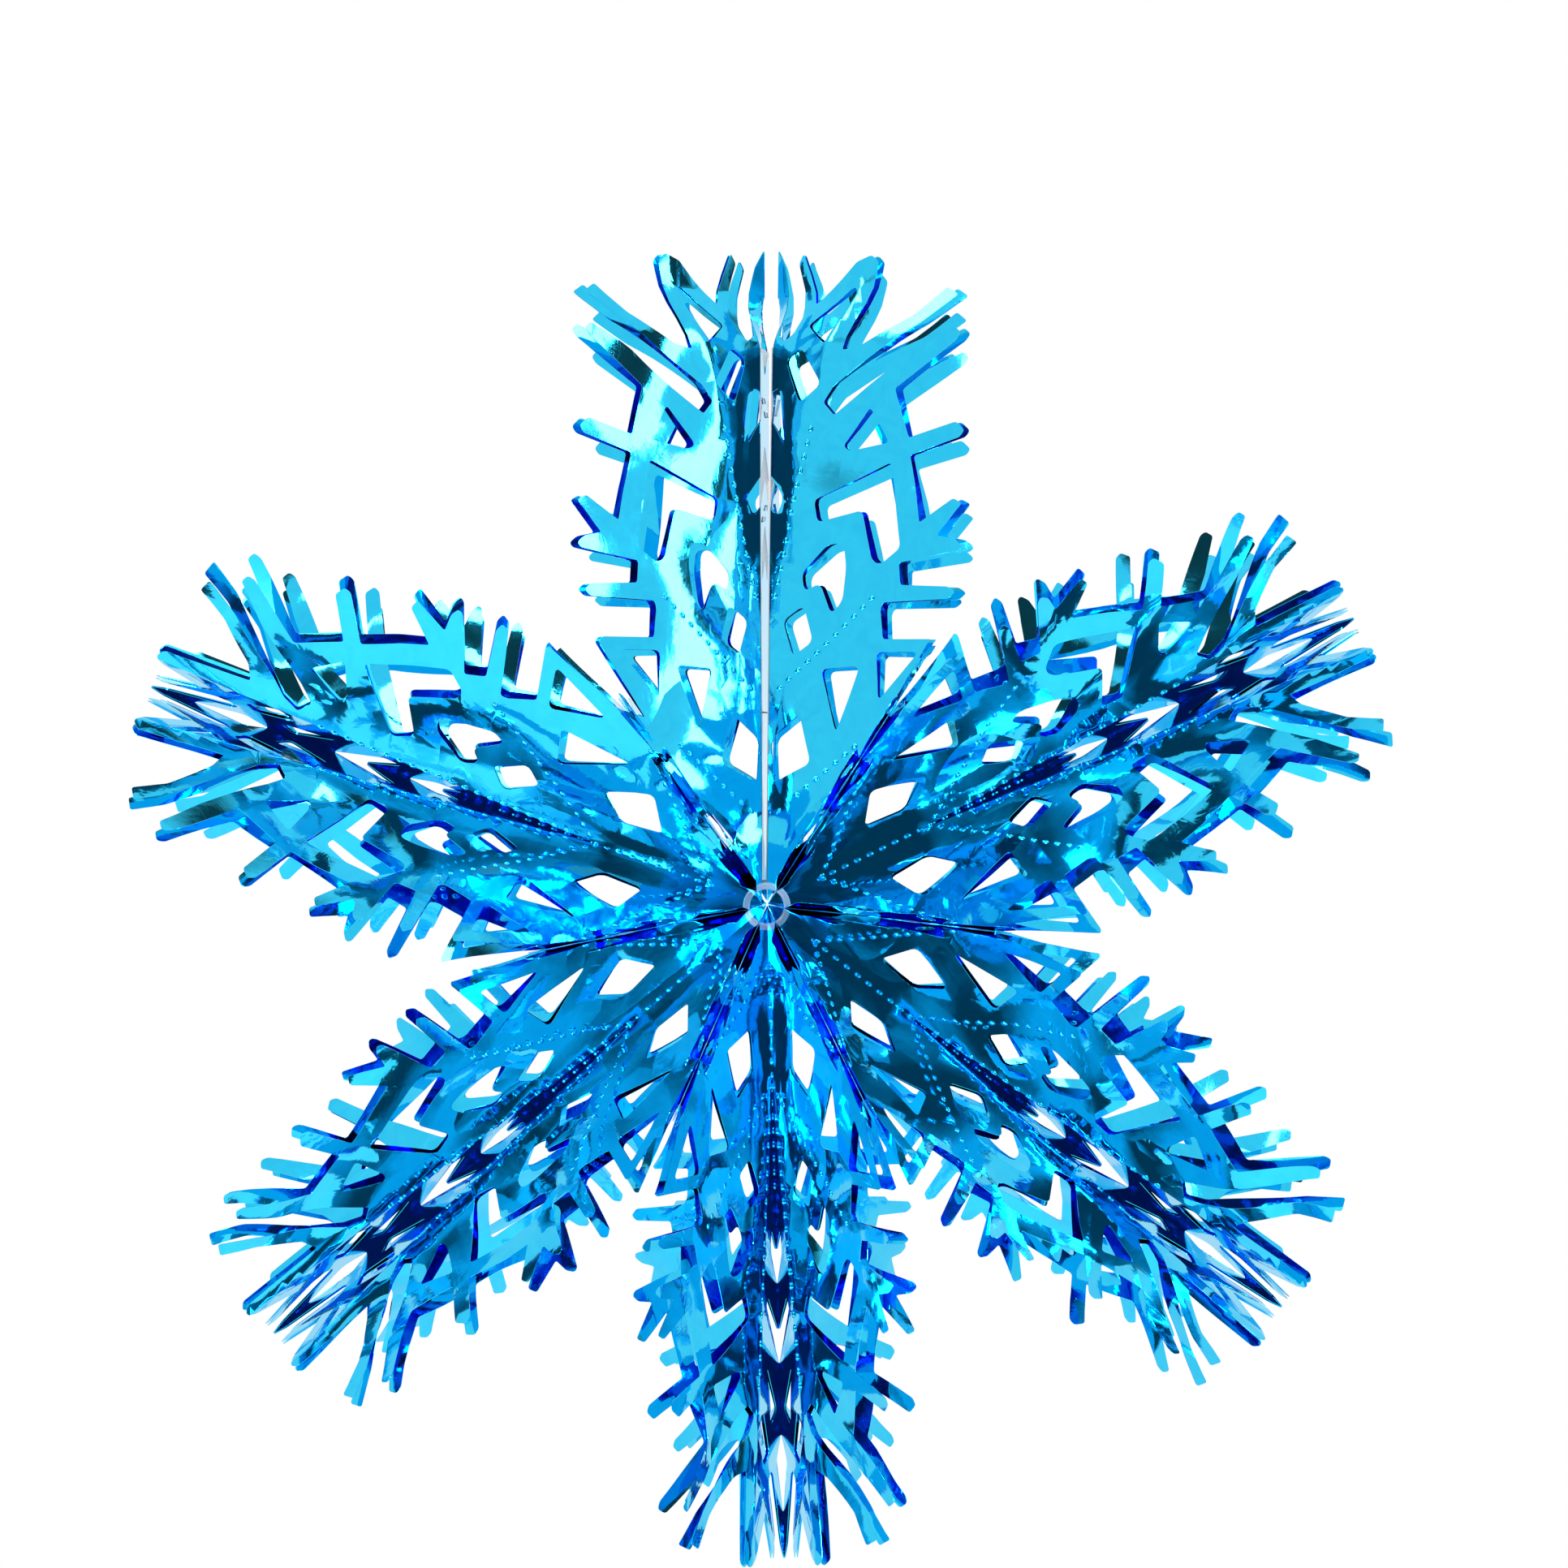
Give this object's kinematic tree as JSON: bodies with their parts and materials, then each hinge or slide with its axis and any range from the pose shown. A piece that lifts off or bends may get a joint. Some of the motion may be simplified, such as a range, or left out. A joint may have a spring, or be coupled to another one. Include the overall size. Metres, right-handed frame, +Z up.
{
  "type": "foil snowflake star decoration",
  "caption": "Hanging snowflake star of die-cut metallised foil leaves that opens like a fan from a flat stack into a full star.",
  "frame": {"origin": "centre of the hang hole in the first stiffener strip", "axes": "+Z up along the top arm, the star's own axis along Y with its front towards -Y, +X to the right seen from the front"},
  "size_m": [0.3757, 0.1406, 0.4079],
  "materials": {
    "blue_foil": "mirror-like metallised blue plastic film",
    "clear_strip": "clear glossy plastic strip",
    "clear_ring": "clear glossy moulded ring",
    "staple_wire": "bright drawn wire"
  },
  "bodies": {
    "first_leaf": {"top_left_leaf_band": "blue_foil", "top_left_stiffener_strip": "clear_strip", "top_left_staples": "staple_wire", "front_ring": "clear_ring", "back_ring": "clear_ring"},
    "last_leaf": {"top_right_leaf_band": "blue_foil", "top_right_stiffener_strip": "clear_strip", "top_right_staples": "staple_wire"},
    "upper_left_arm": {"upper_left_web": "blue_foil"},
    "lower_left_arm": {"lower_left_web": "blue_foil"},
    "bottom_arm": {"bottom_web": "blue_foil"},
    "lower_right_arm": {"lower_right_web": "blue_foil"},
    "upper_right_arm": {"upper_right_web": "blue_foil"},
    "top_valley": {"top_valley_fin_front": "blue_foil", "top_valley_fin_back": "blue_foil"},
    "upper_left_valley": {"upper_left_valley_fin_front": "blue_foil", "upper_left_valley_fin_back": "blue_foil"},
    "lower_left_valley": {"lower_left_valley_fin_front": "blue_foil", "lower_left_valley_fin_back": "blue_foil"},
    "bottom_valley": {"bottom_valley_fin_front": "blue_foil", "bottom_valley_fin_back": "blue_foil"},
    "lower_right_valley": {"lower_right_valley_fin_front": "blue_foil", "lower_right_valley_fin_back": "blue_foil"},
    "upper_right_valley": {"upper_right_valley_fin_front": "blue_foil", "upper_right_valley_fin_back": "blue_foil"},
    "upper_left_ccw_wing_front_body": {"upper_left_ccw_wing_front": "blue_foil"},
    "upper_left_ccw_wing_back_body": {"upper_left_ccw_wing_back": "blue_foil"},
    "upper_left_cw_wing_front_body": {"upper_left_cw_wing_front": "blue_foil"},
    "upper_left_cw_wing_back_body": {"upper_left_cw_wing_back": "blue_foil"},
    "lower_left_ccw_wing_front_body": {"lower_left_ccw_wing_front": "blue_foil"},
    "lower_left_ccw_wing_back_body": {"lower_left_ccw_wing_back": "blue_foil"},
    "lower_left_cw_wing_front_body": {"lower_left_cw_wing_front": "blue_foil"},
    "lower_left_cw_wing_back_body": {"lower_left_cw_wing_back": "blue_foil"},
    "bottom_ccw_wing_front_body": {"bottom_ccw_wing_front": "blue_foil"},
    "bottom_ccw_wing_back_body": {"bottom_ccw_wing_back": "blue_foil"},
    "bottom_cw_wing_front_body": {"bottom_cw_wing_front": "blue_foil"},
    "bottom_cw_wing_back_body": {"bottom_cw_wing_back": "blue_foil"},
    "lower_right_ccw_wing_front_body": {"lower_right_ccw_wing_front": "blue_foil"},
    "lower_right_ccw_wing_back_body": {"lower_right_ccw_wing_back": "blue_foil"},
    "lower_right_cw_wing_front_body": {"lower_right_cw_wing_front": "blue_foil"},
    "lower_right_cw_wing_back_body": {"lower_right_cw_wing_back": "blue_foil"},
    "upper_right_ccw_wing_front_body": {"upper_right_ccw_wing_front": "blue_foil"},
    "upper_right_ccw_wing_back_body": {"upper_right_ccw_wing_back": "blue_foil"},
    "upper_right_cw_wing_front_body": {"upper_right_cw_wing_front": "blue_foil"},
    "upper_right_cw_wing_back_body": {"upper_right_cw_wing_back": "blue_foil"},
    "top_left_wing_front_body": {"top_left_wing_front": "blue_foil"},
    "top_left_wing_back_body": {"top_left_wing_back": "blue_foil"},
    "top_right_wing_front_body": {"top_right_wing_front": "blue_foil"},
    "top_right_wing_back_body": {"top_right_wing_back": "blue_foil"}
  },
  "joints": [
    {"name": "fan", "type": "hinge", "parent": "first_leaf", "child": "last_leaf", "pos_m": [0.0007, 0, -0.165], "axis": [0, 1, 0], "range_deg": [0, 325]},
    {"name": "upper_left_turn", "type": "hinge", "parent": "first_leaf", "child": "upper_left_arm", "pos_m": [0.0007, 0, -0.165], "axis": [0, 1, 0], "range_deg": [0, 64.29]},
    {"name": "lower_left_turn", "type": "hinge", "parent": "first_leaf", "child": "lower_left_arm", "pos_m": [0.0007, 0, -0.165], "axis": [0, 1, 0], "range_deg": [0, 119.03]},
    {"name": "bottom_turn", "type": "hinge", "parent": "first_leaf", "child": "bottom_arm", "pos_m": [0.0007, 0, -0.165], "axis": [0, 1, 0], "range_deg": [0, 164.72]},
    {"name": "lower_right_turn", "type": "hinge", "parent": "first_leaf", "child": "lower_right_arm", "pos_m": [0.0007, 0, -0.165], "axis": [0, 1, 0], "range_deg": [0, 210.41]},
    {"name": "upper_right_turn", "type": "hinge", "parent": "first_leaf", "child": "upper_right_arm", "pos_m": [0.0007, 0, -0.165], "axis": [0, 1, 0], "range_deg": [0, 268.32]},
    {"name": "top_valley_turn", "type": "hinge", "parent": "first_leaf", "child": "top_valley", "pos_m": [0.0007, 0, -0.165], "axis": [0, 1, 0], "range_deg": [0, 32.39]},
    {"name": "upper_left_valley_turn", "type": "hinge", "parent": "first_leaf", "child": "upper_left_valley", "pos_m": [0.0007, 0, -0.165], "axis": [0, 1, 0], "range_deg": [0, 91.66]},
    {"name": "lower_left_valley_turn", "type": "hinge", "parent": "first_leaf", "child": "lower_left_valley", "pos_m": [0.0007, 0, -0.165], "axis": [0, 1, 0], "range_deg": [0, 141.87]},
    {"name": "bottom_valley_turn", "type": "hinge", "parent": "first_leaf", "child": "bottom_valley", "pos_m": [0.0007, 0, -0.165], "axis": [0, 1, 0], "range_deg": [0, 187.57]},
    {"name": "lower_right_valley_turn", "type": "hinge", "parent": "first_leaf", "child": "lower_right_valley", "pos_m": [0.0007, 0, -0.165], "axis": [0, 1, 0], "range_deg": [0, 239.36]},
    {"name": "upper_right_valley_turn", "type": "hinge", "parent": "first_leaf", "child": "upper_right_valley", "pos_m": [0.0007, 0, -0.165], "axis": [0, 1, 0], "range_deg": [0, 296.91]},
    {"name": "upper_left_ccw_wing_front_fold", "type": "hinge", "parent": "upper_left_arm", "child": "upper_left_ccw_wing_front_body", "pos_m": [-0.10298, -0.01579, -0.1286], "axis": [-0.9094, -0.2632, 0.322], "range_deg": [0, 44.61]},
    {"name": "upper_left_ccw_wing_back_fold", "type": "hinge", "parent": "upper_left_arm", "child": "upper_left_ccw_wing_back_body", "pos_m": [-0.10298, 0.01579, -0.1286], "axis": [0.9094, -0.2632, -0.322], "range_deg": [0, 44.61]},
    {"name": "upper_left_cw_wing_front_fold", "type": "hinge", "parent": "upper_left_arm", "child": "upper_left_cw_wing_front_body", "pos_m": [-0.10278, -0.01579, -0.12804], "axis": [0.9094, 0.2632, -0.322], "range_deg": [0, 58.2]},
    {"name": "upper_left_cw_wing_back_fold", "type": "hinge", "parent": "upper_left_arm", "child": "upper_left_cw_wing_back_body", "pos_m": [-0.10278, 0.01579, -0.12804], "axis": [-0.9094, 0.2632, 0.322], "range_deg": [0, 58.2]},
    {"name": "lower_left_ccw_wing_front_fold", "type": "hinge", "parent": "lower_left_arm", "child": "lower_left_ccw_wing_front_body", "pos_m": [-0.08203, -0.01579, -0.23732], "axis": [-0.7281, -0.2632, -0.6329], "range_deg": [0, 34.67]},
    {"name": "lower_left_ccw_wing_back_fold", "type": "hinge", "parent": "lower_left_arm", "child": "lower_left_ccw_wing_back_body", "pos_m": [-0.08203, 0.01579, -0.23732], "axis": [0.7281, -0.2632, 0.6329], "range_deg": [0, 34.67]},
    {"name": "lower_left_cw_wing_front_fold", "type": "hinge", "parent": "lower_left_arm", "child": "lower_left_cw_wing_front_body", "pos_m": [-0.08243, -0.01579, -0.23686], "axis": [0.7281, 0.2632, 0.6329], "range_deg": [0, 44.61]},
    {"name": "lower_left_cw_wing_back_fold", "type": "hinge", "parent": "lower_left_arm", "child": "lower_left_cw_wing_back_body", "pos_m": [-0.08243, 0.01579, -0.23686], "axis": [-0.7281, 0.2632, -0.6329], "range_deg": [0, 44.61]},
    {"name": "bottom_ccw_wing_front_fold", "type": "hinge", "parent": "bottom_arm", "child": "bottom_ccw_wing_front_body", "pos_m": [0.00388, -0.01579, -0.27484], "axis": [0.0253, -0.2632, -0.9644], "range_deg": [0, 34.67]},
    {"name": "bottom_ccw_wing_back_fold", "type": "hinge", "parent": "bottom_arm", "child": "bottom_ccw_wing_back_body", "pos_m": [0.00388, 0.01579, -0.27484], "axis": [-0.0253, -0.2632, 0.9644], "range_deg": [0, 34.67]},
    {"name": "bottom_cw_wing_front_fold", "type": "hinge", "parent": "bottom_arm", "child": "bottom_cw_wing_front_body", "pos_m": [0.00328, -0.01579, -0.27485], "axis": [-0.0253, 0.2632, 0.9644], "range_deg": [0, 34.67]},
    {"name": "bottom_cw_wing_back_fold", "type": "hinge", "parent": "bottom_arm", "child": "bottom_cw_wing_back_body", "pos_m": [0.00328, 0.01579, -0.27485], "axis": [0.0253, 0.2632, -0.9644], "range_deg": [0, 34.67]},
    {"name": "lower_right_ccw_wing_front_fold", "type": "hinge", "parent": "lower_right_arm", "child": "lower_right_ccw_wing_front_body", "pos_m": [0.08747, -0.01579, -0.23242], "axis": [0.7602, -0.2632, -0.594], "range_deg": [0, 48.78]},
    {"name": "lower_right_ccw_wing_back_fold", "type": "hinge", "parent": "lower_right_arm", "child": "lower_right_ccw_wing_back_body", "pos_m": [0.08747, 0.01579, -0.23242], "axis": [-0.7602, -0.2632, 0.594], "range_deg": [0, 48.78]},
    {"name": "lower_right_cw_wing_front_fold", "type": "hinge", "parent": "lower_right_arm", "child": "lower_right_cw_wing_front_body", "pos_m": [0.08711, -0.01579, -0.23289], "axis": [-0.7602, 0.2632, 0.594], "range_deg": [0, 34.67]},
    {"name": "lower_right_cw_wing_back_fold", "type": "hinge", "parent": "lower_right_arm", "child": "lower_right_cw_wing_back_body", "pos_m": [0.08711, 0.01579, -0.23289], "axis": [0.7602, 0.2632, -0.594], "range_deg": [0, 34.67]},
    {"name": "upper_right_ccw_wing_front_fold", "type": "hinge", "parent": "upper_right_arm", "child": "upper_right_ccw_wing_front_body", "pos_m": [0.09933, -0.01579, -0.11656], "axis": [0.8671, -0.2632, 0.4229], "range_deg": [0, 47.78]},
    {"name": "upper_right_ccw_wing_back_fold", "type": "hinge", "parent": "upper_right_arm", "child": "upper_right_ccw_wing_back_body", "pos_m": [0.09933, 0.01579, -0.11656], "axis": [-0.8671, -0.2632, -0.4229], "range_deg": [0, 47.78]},
    {"name": "upper_right_cw_wing_front_fold", "type": "hinge", "parent": "upper_right_arm", "child": "upper_right_cw_wing_front_body", "pos_m": [0.0996, -0.01579, -0.1171], "axis": [-0.8671, 0.2632, -0.4229], "range_deg": [0, 48.78]},
    {"name": "upper_right_cw_wing_back_fold", "type": "hinge", "parent": "upper_right_arm", "child": "upper_right_cw_wing_back_body", "pos_m": [0.0996, 0.01579, -0.1171], "axis": [0.8671, 0.2632, 0.4229], "range_deg": [0, 48.78]},
    {"name": "top_left_wing_front_fold", "type": "hinge", "parent": "first_leaf", "child": "top_left_wing_front_body", "pos_m": [-0.00038, -0.01, -0.105], "axis": [0, 0, 1], "range_deg": [0, 60.2]},
    {"name": "top_left_wing_back_fold", "type": "hinge", "parent": "first_leaf", "child": "top_left_wing_back_body", "pos_m": [-0.00038, 0.01, -0.105], "axis": [0, 0, -1], "range_deg": [0, 60.2]},
    {"name": "top_right_wing_front_fold", "type": "hinge", "parent": "last_leaf", "child": "top_right_wing_front_body", "pos_m": [0.00262, -0.01, -0.10502], "axis": [-0.014, 0, -0.9999], "range_deg": [0, 56.2]},
    {"name": "top_right_wing_back_fold", "type": "hinge", "parent": "last_leaf", "child": "top_right_wing_back_body", "pos_m": [0.00262, 0.01, -0.10502], "axis": [0.014, 0, 0.9999], "range_deg": [0, 56.2]}
  ],
  "couplings": [
    {"joint": "upper_left_turn", "follows": "fan", "ratio": 0.19627},
    {"joint": "lower_left_turn", "follows": "fan", "ratio": 0.3647},
    {"joint": "bottom_turn", "follows": "fan", "ratio": 0.50529},
    {"joint": "lower_right_turn", "follows": "fan", "ratio": 0.64588},
    {"joint": "upper_right_turn", "follows": "fan", "ratio": 0.82405},
    {"joint": "top_valley_turn", "follows": "fan", "ratio": 0.098135},
    {"joint": "upper_left_valley_turn", "follows": "fan", "ratio": 0.28048},
    {"joint": "lower_left_valley_turn", "follows": "fan", "ratio": 0.43499},
    {"joint": "bottom_valley_turn", "follows": "fan", "ratio": 0.57559},
    {"joint": "lower_right_valley_turn", "follows": "fan", "ratio": 0.73497},
    {"joint": "upper_right_valley_turn", "follows": "fan", "ratio": 0.91203},
    {"joint": "upper_left_ccw_wing_front_fold", "follows": "fan", "ratio": 0.13665},
    {"joint": "upper_left_ccw_wing_back_fold", "follows": "fan", "ratio": 0.13665},
    {"joint": "upper_left_cw_wing_front_fold", "follows": "fan", "ratio": 0.17846},
    {"joint": "upper_left_cw_wing_back_fold", "follows": "fan", "ratio": 0.17846},
    {"joint": "lower_left_ccw_wing_front_fold", "follows": "fan", "ratio": 0.10606},
    {"joint": "lower_left_ccw_wing_back_fold", "follows": "fan", "ratio": 0.10606},
    {"joint": "lower_left_cw_wing_front_fold", "follows": "fan", "ratio": 0.13665},
    {"joint": "lower_left_cw_wing_back_fold", "follows": "fan", "ratio": 0.13665},
    {"joint": "bottom_ccw_wing_front_fold", "follows": "fan", "ratio": 0.10606},
    {"joint": "bottom_ccw_wing_back_fold", "follows": "fan", "ratio": 0.10606},
    {"joint": "bottom_cw_wing_front_fold", "follows": "fan", "ratio": 0.10606},
    {"joint": "bottom_cw_wing_back_fold", "follows": "fan", "ratio": 0.10606},
    {"joint": "lower_right_ccw_wing_front_fold", "follows": "fan", "ratio": 0.14947},
    {"joint": "lower_right_ccw_wing_back_fold", "follows": "fan", "ratio": 0.14947},
    {"joint": "lower_right_cw_wing_front_fold", "follows": "fan", "ratio": 0.10606},
    {"joint": "lower_right_cw_wing_back_fold", "follows": "fan", "ratio": 0.10606},
    {"joint": "upper_right_ccw_wing_front_fold", "follows": "fan", "ratio": 0.14641},
    {"joint": "upper_right_ccw_wing_back_fold", "follows": "fan", "ratio": 0.14641},
    {"joint": "upper_right_cw_wing_front_fold", "follows": "fan", "ratio": 0.14947},
    {"joint": "upper_right_cw_wing_back_fold", "follows": "fan", "ratio": 0.14947},
    {"joint": "top_left_wing_front_fold", "follows": "fan", "ratio": 0.18462},
    {"joint": "top_left_wing_back_fold", "follows": "fan", "ratio": 0.18462},
    {"joint": "top_right_wing_front_fold", "follows": "fan", "ratio": 0.17231},
    {"joint": "top_right_wing_back_fold", "follows": "fan", "ratio": 0.17231}
  ]
}
